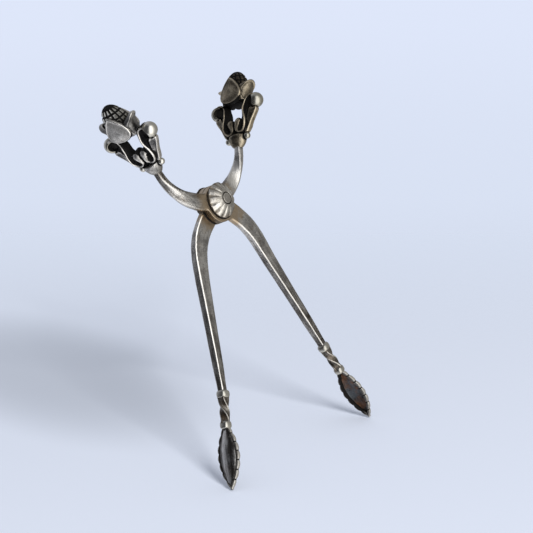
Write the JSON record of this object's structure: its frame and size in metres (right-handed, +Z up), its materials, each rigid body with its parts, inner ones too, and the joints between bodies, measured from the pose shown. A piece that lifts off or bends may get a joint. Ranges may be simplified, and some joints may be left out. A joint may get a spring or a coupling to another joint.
{
  "type": "ice tongs",
  "caption": "Scissor-action ice tongs: two crossing forged arms on a rivet with fluted caps, twisted necks, leaf-shaped jaws and openwork blossom grips.",
  "frame": {"origin": "on the pivot axis, at the centre of the flat face of the rear rivet head, which is the rear_rivet_face mount", "axes": "+Z up along the tongs towards the grips, +Y along the rivet towards the rear cap (the front cap is on -Y), +X across the opening"},
  "size_m": [0.0916, 0.0258, 0.1454],
  "materials": {
    "aged_silver_bar": "worn satin silver with tarnish",
    "polished_silver": "bright worn silver, high points polished by use",
    "oxidised_silver": "oxidised silver, black in the recesses",
    "dark_bowl": "dark tarnished bowl with brown patina"
  },
  "bodies": {
    "front": {"front_arm": "aged_silver_bar", "pivot_rivet": "polished_silver", "front_cap": "polished_silver", "rear_cap": "polished_silver", "front_upper_collar": "polished_silver", "front_twisted_neck": "aged_silver_bar", "front_lower_collar": "polished_silver", "front_jaw_leaf": "dark_bowl", "front_jaw_border": "polished_silver", "front_calyx": "aged_silver_bar", "front_calyx_beads": "polished_silver", "front_scroll_brackets": "oxidised_silver", "front_scroll_balls": "polished_silver", "front_side_leaves": "oxidised_silver", "front_bud_core": "oxidised_silver", "front_face_petals": "polished_silver", "front_side_petals": "oxidised_silver"},
    "back": {"back_arm": "aged_silver_bar", "back_upper_collar": "polished_silver", "back_twisted_neck": "aged_silver_bar", "back_lower_collar": "polished_silver", "back_jaw_leaf": "dark_bowl", "back_jaw_border": "polished_silver", "back_calyx": "aged_silver_bar", "back_calyx_beads": "polished_silver", "back_scroll_brackets": "oxidised_silver", "back_scroll_balls": "polished_silver", "back_side_leaves": "oxidised_silver", "back_bud_core": "oxidised_silver", "back_face_petals": "polished_silver", "back_side_petals": "oxidised_silver"}
  },
  "joints": [
    {"name": "tongs_pivot", "type": "hinge", "parent": "front", "child": "back", "pos_m": [0, 0, 0], "axis": [0, -1, 0], "range_deg": [-26, 47]}
  ]
}
